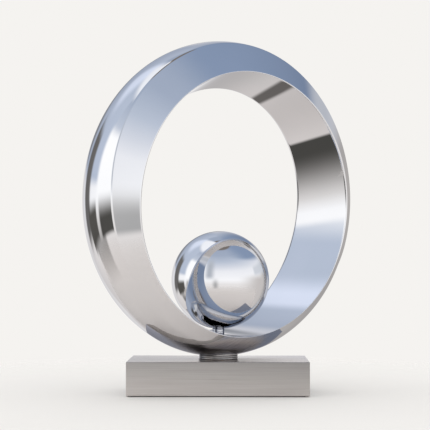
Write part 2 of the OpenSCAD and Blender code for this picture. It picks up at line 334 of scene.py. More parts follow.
@dataclass(frozen=True)
class GrainedMetal(Finish):
    """A plain metal with its own grain, for the parts out of sight.

    The eye sees an even metal, dulled by turning, casting or plating.

    Attributes:
        grain_mm: How coarse the grain is, drawn large enough to show.
    """

    grain_mm: float = 1.5

    def shade(self, tree: bpy.types.NodeTree, shader: bpy.types.Node) -> None:
        """Sets an even grain in colour, roughness and height.

        Args:
            tree: The material's node tree.
            shader: Its Principled BSDF node.
        """
        place = add(tree, "ShaderNodeTexCoord").outputs["Object"]
        grain = add(tree, "ShaderNodeTexNoise", {"Scale": 1000 / self.grain_mm, "Detail": 5.0},
                    {"Vector": place}).outputs["Fac"]
        colour = add(tree, "ShaderNodeValToRGB", {"stops": [(0.35, self.dark_tint), (0.65, self.tint)]},
                     {0: grain})
        rough = add(tree, "ShaderNodeMapRange", self.rough_range(), {"Value": grain})
        bump = add(tree, "ShaderNodeBump", {"Strength": 0.4, "Distance": self.depth_mm * MM},
                   {"Height": grain})
        wire(tree, shader, {"Metallic": 1.0},
             {"Base Color": colour.outputs[0], "Roughness": rough.outputs[0], "Normal": bump.outputs[0]})


@dataclass(frozen=True)
class WoolFelt(Finish):
    """Pressed wool felt.

    The eye sees a soft dark cloth with no weave, only short tangled fibres.

    Attributes:
        fibre_mm: How wide a tangle of fibres is.
    """

    tint: str = "#2c2b2a"
    dark_tint: str = "#1c1b1b"
    roughness: float = 0.95
    depth_mm: float = 0.2
    fibre_mm: float = 0.5

    def shade(self, tree: bpy.types.NodeTree, shader: bpy.types.Node) -> None:
        """Sets tangled fibres in colour and height, with a soft sheen.

        Args:
            tree: The material's node tree.
            shader: Its Principled BSDF node.
        """
        place = add(tree, "ShaderNodeTexCoord").outputs["Object"]
        fibres = add(tree, "ShaderNodeTexNoise",
                     {"Scale": 1000 / self.fibre_mm, "Detail": 6.0, "Distortion": 1.5},
                     {"Vector": place}).outputs["Fac"]
        colour = add(tree, "ShaderNodeValToRGB", {"stops": [(0.35, self.dark_tint), (0.65, self.tint)]},
                     {0: fibres})
        bump = add(tree, "ShaderNodeBump", {"Strength": 0.6, "Distance": self.depth_mm * MM},
                   {"Height": fibres})
        wire(tree, shader, {"Roughness": self.roughness, "Sheen Weight": 0.4},
             {"Base Color": colour.outputs[0], "Normal": bump.outputs[0]})


# Buffed on a soft wheel: the whole room stands in it
MIRROR = PolishedStainless("buffed_stainless_steel")
# Turned, then polished on the lathe, so the room is blurred along its beads; its darker colour is painted
# shade, for the dark things round it that it mirrors
COLLAR_STEEL = PolishedStainless("turned_stainless_steel", tint="#a5a3a2", dark_tint="#8f8d8c", roughness=0.1,
                                 haze_mm=4.0, buffing_mm=0.3)
# Belt-brushed along the block: a warm grey, with a painted sheen that is lightest low down and on the left
SIDES = BrushedStainless("brushed_stainless_steel", painted_sheen=(-0.9, 0.0, -15.0))
# Brushed with a finer belt: paler, and the ring shows in it as a soft shade
TOP = BrushedStainless("fine_brushed_stainless_steel", tint="#cdc5c0", dark_tint="#c2bbb7", roughness=0.3,
                       line_mm=0.3, depth_mm=0.003)
# Left as it came from the mill: even, grey and dull
RAW_STEEL = GrainedMetal("mill_finish_steel", tint="#9c9d9e", dark_tint="#7e7f80", roughness=0.45)
# Hardened and oiled: dark and smooth
SPRING_STEEL = GrainedMetal("oiled_spring_steel", tint="#5c5b5a", dark_tint="#454443", roughness=0.35)
# Fresh from the lathe: a warm brownish gold
TURNED_BRONZE = GrainedMetal("turned_bearing_bronze", tint="#b98a4e", dark_tint="#9a6f3a", roughness=0.3)
# Cast in sand: nearly black, with a coarse skin
CAST_IRON = GrainedMetal("sand_cast_iron", tint="#4a4947", dark_tint="#343332", roughness=0.75, grain_mm=2.5,
                         depth_mm=0.3)
# Zinc plated: pale, cool and a little bright
ZINC = GrainedMetal("zinc_plated_steel", tint="#b4b6b8", dark_tint="#9b9da1", roughness=0.28, grain_mm=3.0)
# Pressed wool: dark, with no gloss
FELT = WoolFelt("pressed_wool_felt")


def put_in_scene(name: str, data: bpy.types.ID) -> bpy.types.Object:
    """Makes an object of a mesh or a camera and puts it into the scene.

    Args:
        name: The object's name.
        data: Its mesh or camera.

    Returns:
        The new object.
    """
    made = bpy.data.objects.new(name, data)
    bpy.context.scene.collection.objects.link(made)
    return made


def grid_piece(name: str, points: np.ndarray, normals: np.ndarray, finish: Finish) -> bpy.types.Object:
    """Makes a smooth piece from a grid of points whose last row joins the first.

    Args:
        name: The piece's name.
        points: Rows round an axis, columns along the section, in metres.
        normals: The true surface normal at each point.
        finish: The finish of the piece.

    Returns:
        The new object.
    """
    rows, columns = points.shape[:2]
    here = np.arange(rows * columns).reshape(rows, columns)
    beyond = np.roll(here, -1, 0)
    faces = np.stack([here[:, :-1], beyond[:, :-1], beyond[:, 1:], here[:, 1:]], -1).reshape(-1, 4)
    mesh = bpy.data.meshes.new(name)
    mesh.from_pydata(points.reshape(-1, 3).tolist(), [], faces.tolist())
    mesh.update()
    sample = mesh.polygons[len(faces) // 2]
    if Vector(normals.reshape(-1, 3)[sample.vertices[0]]).dot(sample.normal) < 0:
        mesh.flip_normals()
    mesh.polygons.foreach_set("use_smooth", [True] * len(faces))
    mesh.normals_split_custom_set_from_vertices(normals.reshape(-1, 3).tolist())
    mesh.materials.append(finish.material())
    return put_in_scene(name, mesh)


def settle(piece: bpy.types.Object, body: Body, slot: Slot, *nodes: str) -> None:
    """Ties a piece to its body and to the CAD nodes that it stands for.

    Args:
        piece: The finished piece.
        body: The body it rides on.
        slot: The record's material slot; not used.
        *nodes: The CAD nodes that it replaces.
    """
    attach(piece, body.value)
    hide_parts(*nodes)
    LOG.info("%s stands for %s", piece.name, ", ".join(nodes))


def grid_normals(points: np.ndarray, outside: np.ndarray) -> np.ndarray:
    """Finds the surface normals of a grid of points whose last row joins the first.

    Args:
        points: Rows round an axis, columns along the section.
        outside: For each point, a rough direction out of the metal.

    Returns:
        Unit normals that point out of the metal.
    """
    along = np.roll(points, -1, 0) - np.roll(points, 1, 0)
    normals = np.cross(along, np.gradient(points, axis=1))
    normals /= np.maximum(np.linalg.norm(normals, axis=-1, keepdims=True), TINY)
    flip = np.sign((normals * outside).sum(-1, keepdims=True))
    return normals * np.where(flip == 0, 1, flip)


def round_corner(before: np.ndarray, corner: np.ndarray, after: np.ndarray, count: int) -> np.ndarray:
    """Draws a round arc that turns a corner, for every section at once.

    Args:
        before: Where the arc leaves the first side, one row for each section.
        corner: The sharp corner.
        after: Where the arc meets the second side.
        count: How many points the arc gets.

    Returns:
        The arcs, as sections by points by two.
    """
    a, b = before - corner, after - corner
    cosine = (a * b).sum(-1) / (np.linalg.norm(a, axis=-1) * np.linalg.norm(b, axis=-1))
    weight = np.sqrt(np.clip((1 - cosine) / 2, LEAST_FOLD, 1.0))[:, None, None]
    t = np.linspace(0, 1, count)[None, :, None]
    first, middle, last = (1 - t) ** 2, 2 * t * (1 - t) * weight, t**2
    arc = first * before[:, None] + middle * corner[:, None] + last * after[:, None]
    return arc / (first + middle + last)


def halve(low: np.ndarray, high: np.ndarray, inside: ArrayMap) -> np.ndarray:
    """Halves intervals until it finds where a test changes.

    Args:
        low: Values where the test holds.
        high: Values where it doesn't.
        inside: The test.

    Returns:
        The values where it changes.
    """
    for _ in range(HALVINGS):
        middle = (low + high) / 2
        holds = inside(middle)
        low, high = np.where(holds, middle, low), np.where(holds, high, middle)
    return (low + high) / 2


@dataclass
class RingFrame:
    """The ring's own frame: leaned forward and turned on the block.

    Attributes:
        turn: How far it is turned on the block, counter-clockwise from above, in degrees.
        lean: How far it leans forward, in degrees.
        foot: The height of the ring's lowest line, in millimetres.
        right: Its direction to the right.
        forward: Its direction to the front.
        up: Its direction up.
    """

    turn: float = 38.4
    lean: float = 3.4
    foot: float = 41.6
    right: np.ndarray = field(init=False)
    forward: np.ndarray = field(init=False)
    up: np.ndarray = field(init=False)

    def __post_init__(self) -> None:
        """Works out the frame's three directions."""
        t, z = math.radians(self.turn), math.radians(self.lean)
        level = np.array([math.sin(t), -math.cos(t), 0.0])
        rise = np.array([0.0, 0.0, 1.0])
        self.right = np.array([math.cos(t), math.sin(t), 0.0])
        self.forward = level * math.cos(z) - rise * math.sin(z)
        self.up = rise * math.cos(z) + level * math.sin(z)

    def place(self, x: np.ndarray, forward: np.ndarray, z: np.ndarray) -> np.ndarray:
        """Puts points of the ring's frame into the model's frame.

        Args:
            x: Distance to the right.
            forward: Distance in front of the spindle.
            z: Height over the ring's lowest line.

        Returns:
            The points in metres.
        """
        point = x[..., None] * self.right + forward[..., None] * self.forward + z[..., None] * self.up
        return (point + np.array([0.0, 0.0, self.foot])) * MM


def slanted(tip: float, swing: float) -> np.ndarray:
    """Gives the ring's forward direction after it is tipped down and swung to the right.

    Args:
        tip: Angle down, in degrees.
        swing: Angle to the right, in degrees.

    Returns:
        The direction as right, forward and up.
    """
    down, aside = math.radians(tip), math.radians(swing)
    return np.array([math.cos(down) * math.sin(aside), math.cos(down) * math.cos(aside), -math.sin(down)])


@dataclass(frozen=True)
class Cone:
    """A cone on a slanting axis, in millimetres to the right, to the front and up from the hole's middle.

    Attributes:
        origin: A point on the axis.
        axis: The axis's direction, with a length of one.
        radius: The cone's radius at that point.
        growth: How much the radius grows for each millimetre along the axis.
    """

    origin: np.ndarray
    axis: np.ndarray
    radius: float
    growth: float

    def reach(self, start: np.ndarray, step: np.ndarray) -> np.ndarray:
        """Gives how far lines run before they meet the cone.

        Args:
            start: Where each line starts.
            step: Its direction, with a length of one.

        Returns:
            The distances.
        """
        apart = start - self.origin
        along, tilt = apart @ self.axis, step @ self.axis
        wide = self.radius + self.growth * along
        a = 1 - (1 + self.growth**2) * tilt**2
        b = (apart * step).sum(-1) - (along + self.growth * wide) * tilt
        c = (apart**2).sum(-1) - along**2 - wide**2
        return (-b + np.sqrt(np.maximum(b**2 - a * c, 0))) / a


@dataclass
class Ring:
    """The hollow ring: outer band, front bevel, the wall of the hole and the back face, in millimetres.

    Attributes:
        frame: The frame that the ring stands in.
        outer_r: The band's largest radius.
        band_arc: The radius of the arc that the band's section follows.
        band_forward: How far in front of the spindle the band is widest.
        lip_r: The radius of the hole's front lip.
        lip_forward: How far in front of the spindle the lip lies.
        shift: How far the hole's middle lies to the right of the band's.
        drop: How far it lies under the band's.
        bevel_angle: How steeply the bevel falls back from the lip, in degrees.
        back_angle: How steeply the back face falls back from the back edge of the hole, in degrees.
        wall_taper: How steeply the hole narrows towards the back, in degrees.
        wall_drop: How steeply the axis of its wall drops towards the back, in degrees.
        wall_swing: How far that axis swings to the right towards the back, in degrees.
        back_depth: How far behind the spindle the middle of the hole's back edge lies.
        back_tip: How steeply the back face's axis drops towards the front, in degrees.
        back_swing: How far that axis swings to the right towards the front, in degrees.
        lip_reach: How far from the sharp lip its rounding starts.
        back_reach: The same at the back edge of the hole.
        heel_reach: The same where the back face meets the band.
        crease_reach: The same, at least, where the bevel meets the band.
        crease_cut: How deep under the sharp crease its rounding may cut.
        back_share: How much radius a reach along the back face takes, as a share of it.
        bevel_share: The part of the flat bevel that the lip's rounding may take.
        fade_in: The angles round the hole between which the sharp crease fades, in degrees.
        fade_out: The angles between which it comes back.
        fade_power: How slowly the fading starts.
        fade_most: How much of the bevel the rounded crease may take.
        core_depth: How deep under the band the line lies that all outsides look away from.
        far_r: A radius outside the ring.
        far_back: A forward distance behind the ring.
        band_search: How far behind the crease its rounding may end on the band.
        heel_search: How far in front of the heel its rounding may end.
        sections: How many sections there are round the hole.
        flat_points: Points of a section on the bevel, the wall, the back face and the band.
        round_points: Points of its roundings at the lip, the back edge, the heel and the crease.
        wall: The cone of the hole's wall.
        back: The cone of the back face.
    """

    frame: RingFrame
    outer_r: float = 176.18
    band_arc: float = 59.5
    band_forward: float = 0.5
    lip_r: float = 144.4
    lip_forward: float = 49.6
    shift: float = -1.0
    drop: float = 5.2
    bevel_angle: float = 41.5
    back_angle: float = 40.0
    wall_taper: float = 8.1
    wall_drop: float = 8.5
    wall_swing: float = 3.1
    back_depth: float = 18.2
    back_tip: float = 6.9
    back_swing: float = 6.6
    lip_reach: float = 1.76
    back_reach: float = 3.0
    heel_reach: float = 0.75
    crease_reach: float = 1.6
    crease_cut: float = 1.2
    back_share: float = 0.8
    bevel_share: float = 0.6
    fade_in: Tuple[float, float] = (246.0, 264.0)
    fade_out: Tuple[float, float] = (318.0, 348.0)
    fade_power: float = 1.3
    fade_most: float = 0.97
    core_depth: float = 12.0
    far_r: float = 200.0
    far_back: float = -58.0
    band_search: float = 60.0
    heel_search: float = 20.0
    sections: int = 720
    flat_points: Tuple[int, int, int, int] = (30, 50, 16, 90)
    round_points: Tuple[int, int, int, int] = (9, 15, 7, 15)
    wall: Cone = field(init=False)
    back: Cone = field(init=False)

    def __post_init__(self) -> None:
        """Works out the cones of the hole's wall and of the back face, each on its own slanting axis."""
        taper, drop, swing = (math.radians(a) for a in (self.wall_taper, self.wall_drop, self.wall_swing))
        x = self.lip_r * math.sin(swing) * math.tan(taper)
        z = -self.lip_r * math.sin(drop) * math.tan(taper)
        wall_r = self.lip_r * math.sqrt(math.cos(drop))
        self.wall = Cone(np.array([x, self.lip_forward, z]), slanted(-self.wall_drop, -self.wall_swing),
                         wall_r, math.tan(taper))
        reach = self.lip_forward + self.back_depth
        edge = np.array([x + reach * math.tan(swing), -self.back_depth, z - reach * math.tan(drop)])
        self.back = Cone(edge, slanted(self.back_tip, self.back_swing), wall_r - reach * math.tan(taper),
                         -1 / math.tan(math.radians(self.back_angle)))

    def band_r(self, forward: np.ndarray) -> np.ndarray:
        """Gives the band's radius round its own axis.

        Args:
            forward: Distance in front of the spindle.

        Returns:
            The radius.
        """
        reach = np.maximum(self.band_arc**2 - (forward - self.band_forward) ** 2, LEAST_SQUARE)
        return self.outer_r - self.band_arc + np.sqrt(reach)

    def band_at(self, angle: np.ndarray, forward: np.ndarray) -> np.ndarray:
        """Gives the band's distance from the hole's axis.

        Args:
            angle: Angle round the hole's axis.
            forward: Distance in front of the spindle.

        Returns:
            The distance.
        """
        along = self.shift * np.cos(angle) - self.drop * np.sin(angle)
        offset = self.shift**2 + self.drop**2
        return -along + np.sqrt(along**2 - offset + self.band_r(forward) ** 2)

    def wall_at(self, angle: np.ndarray, forward: np.ndarray) -> np.ndarray:
        """Gives the hole's radius round the axis of its lip.

        Args:
            angle: Angle round the hole's axis.
            forward: Distance in front of the spindle.

        Returns:
            The radius.
        """
        flat = np.zeros_like(angle)
        start = np.stack([flat, flat + forward, flat], -1)
        return self.wall.reach(start, np.stack([np.cos(angle), flat, np.sin(angle)], -1))

    def bevel_forward(self, radius: np.ndarray) -> np.ndarray:
        """Gives how far forward the bevel lies at a radius.

        Args:
            radius: Distance from the hole's axis.

        Returns:
            The forward distance.
        """
        return self.lip_forward - (radius - self.lip_r) * math.tan(math.radians(self.bevel_angle))

    def back_forward_at(self, angle: np.ndarray, radius: np.ndarray) -> np.ndarray:
        """Gives how far forward the tipped back face lies.

        Args:
            angle: Angle round the hole's axis.
            radius: Distance from the hole's axis.

        Returns:
            The forward distance.
        """
        start = np.stack([radius * np.cos(angle), np.zeros_like(angle), radius * np.sin(angle)], -1)
        return self.back.reach(start, np.array([0.0, 1.0, 0.0]))

    def crease_share(self, angle: np.ndarray) -> np.ndarray:
        """Gives how much of the bevel is left flat, since its crease fades out at the bottom.

        Args:
            angle: Angle round the hole's axis.

        Returns:
            The share, one where the crease is sharp and near zero where it has gone.
        """
        degrees = np.degrees(angle) % 360
        gone, back = (np.clip((degrees - start) / (end - start), 0, 1)
                      for start, end in (self.fade_in, self.fade_out))
        return 1 - self.fade_most * gone**self.fade_power * (1 - back**2 * (3 - 2 * back))

    def section(self, angle: np.ndarray) -> Tuple[np.ndarray, List[int]]:
        """Draws the closed section of the ring at each angle.

        Args:
            angle: Angles round the hole's axis.

        Returns:
            Radius and forward distance as angles by points by two, and the columns where a skin ends.
        """

        def on_bevel(share: np.ndarray) -> np.ndarray:
            """Gives the points at a share of the way from the lip to the crease."""
            return lip + (crease - lip) * share[:, None]

        def on_wall(forward: np.ndarray) -> np.ndarray:
            """Gives the wall's points at a forward distance."""
            return np.stack([self.wall_at(angle, forward), forward], -1)

        def on_back(radius: np.ndarray) -> np.ndarray:
            """Gives the back face's points at a radius."""
            return np.stack([radius, self.back_forward_at(angle, radius)], -1)

        def on_band(forward: np.ndarray) -> np.ndarray:
            """Gives the band's points at a forward distance."""
            return np.stack([self.band_at(angle, forward), forward], -1)

        def along_band(reach: np.ndarray) -> np.ndarray:
            """Gives how far forward the band is at a distance from the crease."""
            return halve(crease[:, 1], crease[:, 1] - self.band_search,
                         lambda f: np.linalg.norm(on_band(f) - crease, axis=-1) < reach)

        def run(line: ArrayMap, start: np.ndarray, end: np.ndarray, count: int) -> np.ndarray:
            """Gives a count of evenly spaced points on a line, between its start and its end."""
            steps = np.linspace(0, 1, count + 2)[1:-1]
            return np.stack([line(start + (end - start) * s) for s in steps], 1)

        # The section's sharp corners: lip, crease, back edge of the hole and heel
        ones = np.ones_like(angle)
        lip = np.stack([self.lip_r * ones, self.lip_forward * ones], -1)
        crease_r = halve(self.lip_r * ones, self.far_r * ones,
                         lambda r: r < self.band_at(angle, self.bevel_forward(r)))
        crease = np.stack([crease_r, self.bevel_forward(crease_r)], -1)
        edge = on_wall(halve(self.lip_forward * ones, self.far_back * ones,
                             lambda f: f > self.back_forward_at(angle, self.wall_at(angle, f))))
        heel = on_back(halve(edge[:, 0], self.far_r * ones,
                             lambda r: r < self.band_at(angle, self.back_forward_at(angle, r))))

        # Where each rounding starts and ends; the one at the crease is held to its greatest cut
        flat = np.linalg.norm(crease - lip, axis=-1)
        reach = np.maximum(flat * (1 - self.crease_share(angle)), self.crease_reach)
        chord = on_band(along_band(reach)) - crease
        half = np.arccos(((lip - crease) * chord).sum(-1) / flat / np.linalg.norm(chord, axis=-1)) / 2
        reach = np.minimum(reach, self.crease_cut * np.cos(half) / (1 - np.sin(half)))
        bevel_out = 1 - reach / flat
        bevel_in = np.minimum(self.lip_reach / flat, bevel_out * self.bevel_share)
        wall_in, wall_out = lip[:, 1] - self.lip_reach, edge[:, 1] + self.back_reach
        back_in = edge[:, 0] + self.back_reach * self.back_share
        back_out = heel[:, 0] - self.heel_reach * self.back_share
        band_in = halve(heel[:, 1], heel[:, 1] + self.heel_search,
                        lambda f: np.linalg.norm(on_band(f) - heel, axis=-1) < self.heel_reach)
        band_out = along_band(reach)

        bevel_count, wall_count, back_count, band_count = self.flat_points
        at_lip, at_edge, at_heel, at_crease = self.round_points
        parts = [
            run(on_bevel, bevel_out, bevel_in, bevel_count),
            round_corner(on_bevel(bevel_in), lip, on_wall(wall_in), at_lip),
            run(on_wall, wall_in, wall_out, wall_count),
            round_corner(on_wall(wall_out), edge, on_back(back_in), at_edge),
            run(on_back, back_in, back_out, back_count),
            round_corner(on_back(back_out), heel, on_band(band_in), at_heel),
            run(on_band, band_in, band_out, band_count),
            round_corner(on_band(band_out), crease, on_bevel(bevel_out), at_crease),
        ]
        ends = np.cumsum([part.shape[1] for part in parts])
        splits = [int(ends[i]) + parts[i + 1].shape[1] // 2 for i in range(0, len(parts), 2)]
        return np.concatenate(parts, 1), splits

    def stand(self, section: np.ndarray, angle: np.ndarray) -> np.ndarray:
        """Turns points of the section to their angles and puts them into the model's frame.

        Args:
            section: Radius and forward distance of each point.
            angle: Angle of each point round the hole's axis.

        Returns:
            The points in metres.
        """
        x = section[..., 0] * np.cos(angle) + self.shift
        z = section[..., 0] * np.sin(angle) + self.outer_r - self.drop
        return self.frame.place(x, section[..., 1], z)

    def build(self) -> None:
        """Builds the four skins with shared normals, so that no seam shows between them."""
        angle = np.linspace(0, 2 * math.pi, self.sections, endpoint=False)
        level = np.zeros_like(angle)
        section, splits = self.section(angle)
        points = self.stand(section, angle[:, None])
        core = np.stack([self.band_at(angle, level) - self.core_depth, level], -1)[:, None]
        looped = np.concatenate([points[:, -1:], points, points[:, :1]], 1)
        normals = grid_normals(looped, looped - self.stand(core, angle[:, None]))[:, 1:-1]
        count = section.shape[1]
        skins = [
            ("ring_hole_wall", splits[0], splits[1], ("inner_band_upper", "inner_band_lower")),
            ("ring_back_face", splits[1], splits[2], ("back_face_upper", "back_face_lower")),
            ("ring_outer_band", splits[2], splits[3], ("outer_band_upper", "outer_band_lower")),
            ("ring_front_bevel", splits[3], splits[0] + count, ("front_bevel_upper", "front_bevel_lower")),
        ]
        for name, start, end, nodes in skins:
            columns = np.arange(start, end + 1) % count
            piece = grid_piece(name, points[:, columns], normals[:, columns], MIRROR)
            settle(piece, Body.RING, Slot.MIRROR, *nodes)


@dataclass
class Turned:
    """A turned piece: a profile turned round an upright axis of some frame.

    Attributes:
        name: The piece's name.
        profile: Radius and height of each point, in millimetres.
        finish: Its finish.
        segments: How many points it has round the axis.
    """

    name: str
    profile: Sequence[Tuple[float, float]]
    finish: Finish
    segments: int = 192

    def build(self, frame: RingFrame, forward: float = 0.0) -> bpy.types.Object:
        """Turns the profile in a frame.

        Args:
            frame: The frame that the piece stands in.
            forward: Place of its axis in front of the spindle.

        Returns:
            The new piece.
        """
        line = np.array(self.profile, float)
        angle = np.linspace(0, 2 * math.pi, self.segments, endpoint=False)[:, None]
        radius, height = line[None, :, 0], line[None, :, 1]
        points = frame.place(radius * np.cos(angle), forward + radius * np.sin(angle),
                             np.broadcast_to(height, (self.segments, len(line))))
        slope = np.gradient(line, axis=0)
        slope /= np.linalg.norm(slope, axis=-1, keepdims=True)
        outward = np.cos(angle)[..., None] * frame.right + np.sin(angle)[..., None] * frame.forward
        normals = slope[None, :, 1:] * outward - slope[None, :, :1] * frame.up
        return grid_piece(self.name, points, normals, self.finish)


def smooth_profile(corners: Sequence[Tuple[float, float, float]],
                   steps: int = 6) -> List[Tuple[float, float]]:
    """Rounds the corners of a turned profile.

    Args:
        corners: Radius, height and how far the rounding reaches, from the bottom up on the outside.
        steps: How many points a rounded corner gets.

    Returns:
        The profile's points.
    """
    points: List[Tuple[float, float]] = []
    for i, (r, z, rounding) in enumerate(corners):
        here = np.array([r, z])
        if rounding == 0 or i in (0, len(corners) - 1):
            points.append((r, z))
            continue
        before, after = np.array(corners[i - 1][:2]) - here, np.array(corners[i + 1][:2]) - here
        ends = [here + side / np.linalg.norm(side) * rounding for side in (before, after)]
        arc = round_corner(ends[0][None], here[None], ends[1][None], steps)[0]
        points.extend(tuple(p) for p in arc)
    return points


@dataclass
class Ball:
    """The hollow ball on its stem, in millimetres.

    Attributes:
        frame: The frame that the ball stands in.
        radius: The ball's radius.
        middle: The height of its middle over the ring's lowest line.
        behind: How far it lies behind the spindle.
        floor: The height of the hole's wall under it.
        stem_r: The stem's radius.
        stud_r: The radius of the stud through it.
        sunk: How far the stem goes on under the wall.
        covered: How far it goes on over the ball's lowest point.
        groove_lift: How far the turned groove lies over the stem's middle.
        groove_half: Half the groove's width.
        groove_depth: Its depth.
        groove_round: The rounding of its sides.
        groove_root: The rounding of its bottom.
        rows: Points of a half shell's profile.
        segments: Points round the ball.
        stem_segments: Points round the stem.
    """

    frame: RingFrame
    radius: float = 55.0
    middle: float = 85.1
    behind: float = 1.8
    floor: float = 25.4
    stem_r: float = 6.8
    stud_r: float = 4.0
    sunk: float = 1.0
    covered: float = 0.6
    groove_lift: float = 0.2
    groove_half: float = 0.45
    groove_depth: float = 0.6
    groove_round: float = 0.35
    groove_root: float = 0.25
    rows: int = 96
    segments: int = 288
    stem_segments: int = 128

    def half(self, name: str, start: float, end: float, node: str) -> None:
        """Builds the outside of one half shell, which is all that shows of it.

        Args:
            name: The piece's name.
            start: Lower end as an angle over the ball's equator.
            end: Upper end as an angle over the ball's equator.
            node: The CAD node that it stands for.
        """
        angles = np.radians(np.linspace(start, end, self.rows))
        outside = [(self.radius * math.cos(a), self.middle + self.radius * math.sin(a)) for a in angles]
        piece = Turned(name, outside, MIRROR, self.segments).build(self.frame, -self.behind)
        settle(piece, Body.RING, Slot.MIRROR, node)

    def build(self) -> None:
        """Builds both half shells, the lower with a hole for the stud, and the stem with its groove."""
        rim = -90 + math.degrees(math.asin(self.stud_r / self.radius))
        self.half("ball_lower_half", rim, 0.0, "ball_lower_shell")
        self.half("ball_upper_half", 0.0, 90.0, "ball_upper_shell")
        low, high = self.floor - self.sunk, self.middle - self.radius + self.covered
        groove = (low + high) / 2 + self.groove_lift
        profile = smooth_profile([
            (self.stud_r, low, 0.0),
            (self.stem_r, low, 0.0),
            (self.stem_r, groove - self.groove_half, self.groove_round),
            (self.stem_r - self.groove_depth, groove, self.groove_root),
            (self.stem_r, groove + self.groove_half, self.groove_round),
            (self.stem_r, high, 0.0),
            (self.stud_r, high, 0.0),
        ])
        stem = Turned("ball_stem_turned", profile, MIRROR, self.stem_segments).build(self.frame, -self.behind)
        settle(stem, Body.RING, Slot.MIRROR, "ball_stem")


@dataclass
class Block:
    """The sheet steel block, in millimetres, with a fine brushed top and brushed sides.

    Attributes:
        width: The block's width.
        depth: Its depth.
        low: The height of its open underside.
        high: The height of its top.
        edge: How wide its softened edges are.
        edge_steps: How many steps round them off.
        sheet: How thick its sheet is.
        collar_r: The collar's radius.
        collar_low: The height of its underside.
        collar_rim: How wide its underside is.
        collar_sunk: How far it goes up past the ring's lowest line.
        beads: How many beads are turned on it under its plain part.
        bead: The height of a bead.
        bead_round: The rounding of a bead's edges.
        groove: The depth of the groove over each bead.
        groove_wide: Its width.
        groove_round: The rounding of its bottom.
    """

    width: float = 200.0
    depth: float = 100.0
    low: float = 1.0
    high: float = 38.0
    edge: float = 0.5
    edge_steps: int = 3
    sheet: float = 3.0
    collar_r: float = 21.8
    collar_low: float = 38.3
    collar_rim: float = 8.0
    collar_sunk: float = 5.0
    beads: int = 2
    bead: float = 1.7
    bead_round: float = 0.7
    groove: float = 0.8
    groove_wide: float = 0.3
    groove_round: float = 0.1

    def build_shell(self) -> None:
        """Builds the folded shell with softened edges and open underside."""
        w, d = self.width / 2 * MM, self.depth / 2 * MM
        corners = [(-w, -d), (w, -d), (w, d), (-w, d)]
        points = [(x, y, z * MM) for z in (self.low, self.high) for x, y in corners]
        top = (4, 5, 6, 7)
        faces = [(0, 1, 5, 4), (1, 2, 6, 5), (2, 3, 7, 6), (3, 0, 4, 7), top]
        mesh = bpy.data.meshes.new("block_folded_shell")
        mesh.from_pydata(points, [], faces)
        mesh.update()
        mesh.materials.append(SIDES.material())
        mesh.materials.append(TOP.material())
        mesh.polygons[faces.index(top)].material_index = 1
        shell = put_in_scene("block_folded_shell", mesh)
        thick = shell.modifiers.new("sheet", "SOLIDIFY")
        thick.thickness = self.sheet * MM
        thick.offset = -1.0
        soft = shell.modifiers.new("edges", "BEVEL")
        soft.width = self.edge * MM
        soft.segments = self.edge_steps
        soft.harden_normals = True
        settle(shell, Body.BLOCK, Slot.SATIN, "block_shell")

    def build_collar(self, frame: RingFrame) -> None:
        """Builds the polished collar, upright under the ring.

        Args:
            frame: The ring's frame, for the collar's turn.
        """
        z = self.collar_low
        corners = [(self.collar_r - self.collar_rim, z, 0.0)]
        for _ in range(self.beads):
            corners += [
                (self.collar_r, z, self.bead_round),
                (self.collar_r, z + self.bead, self.bead_round),
                (self.collar_r - self.groove, z + self.bead + self.groove_wide / 2, self.groove_round),
            ]
            z += self.bead + self.groove_wide
        corners += [(self.collar_r, z, self.bead_round), (self.collar_r, frame.foot + self.collar_sunk, 0.0)]
        upright = RingFrame(frame.turn, 0.0, 0.0)
        collar = Turned("ring_collar", smooth_profile(corners), COLLAR_STEEL).build(upright)
        settle(collar, Body.RING, Slot.MIRROR, "collar")


@dataclass
class PlainParts:
    """The CAD parts that keep their shape and get a finish: the ones inside and underneath."""

    nodes: Dict[str, bpy.types.Object]

    def dress(self) -> None:
        """Gives each shown CAD node the material of what it is made of."""
        finishes = {
            RAW_STEEL: ["corner_blocks", "bottom_plate", "bearing_housing", "spindle", "ring_frames",
                        "ring_boss", "ball_boss", "ball_stud"],
            SPRING_STEEL: ["disc_springs"],
            TURNED_BRONZE: ["spindle_bush", "thrust_washer", "lower_washer"],
            CAST_IRON: ["ballast"],
            ZINC: ["corner_screws", "ballast_screws", "nut_washer", "lock_nut"],
            FELT: ["felt_sheet"],
        }
        for finish, names in finishes.items():
            for name in names:
                node = self.nodes[name]
                node.data.materials.clear()
                node.data.materials.append(finish.material())
                LOG.info("%s is dressed as %s", name, finish.title)


@dataclass(frozen=True)
class Pane:
    """A pane of light or shade in the room: azimuths from +Y towards +X, and heights, in degrees.

    Attributes:
        title: What it stands for, which labels its node.
        colour: Its colour.
        left: Where it starts.
        right: Where it ends.
        low: Its lower edge.
        high: Its upper edge.
        left_soft: How wide the soft edge at its start is.
        right_soft: The same at its end.
        low_soft: The same at its lower edge.
        high_soft: The same at its upper edge.
        rise: How far it climbs for each degree to the right.
    """

    title: str
    colour: str
    left: float
    right: float
    low: float
    high: float
    left_soft: float = 8.0
    right_soft: float = 8.0
    low_soft: float = 8.0
    high_soft: float = 8.0
    rise: float = 0.0


# The room with nothing in it: a warm table low down, light at eye height, cool paint above
WALLS = ((-90, "#8d8884"), (-70, "#b0aaa7"), (-50, "#cdc7c4"), (-30, "#dad5d2"), (-10, "#e6e3e1"),
         (0, "#f8f8f9"), (20, "#ebecf0"), (30, "#d4d8e1"), (42, "#b9c2d1"), (58, "#a1acbf"), (90, "#95a1b5"))

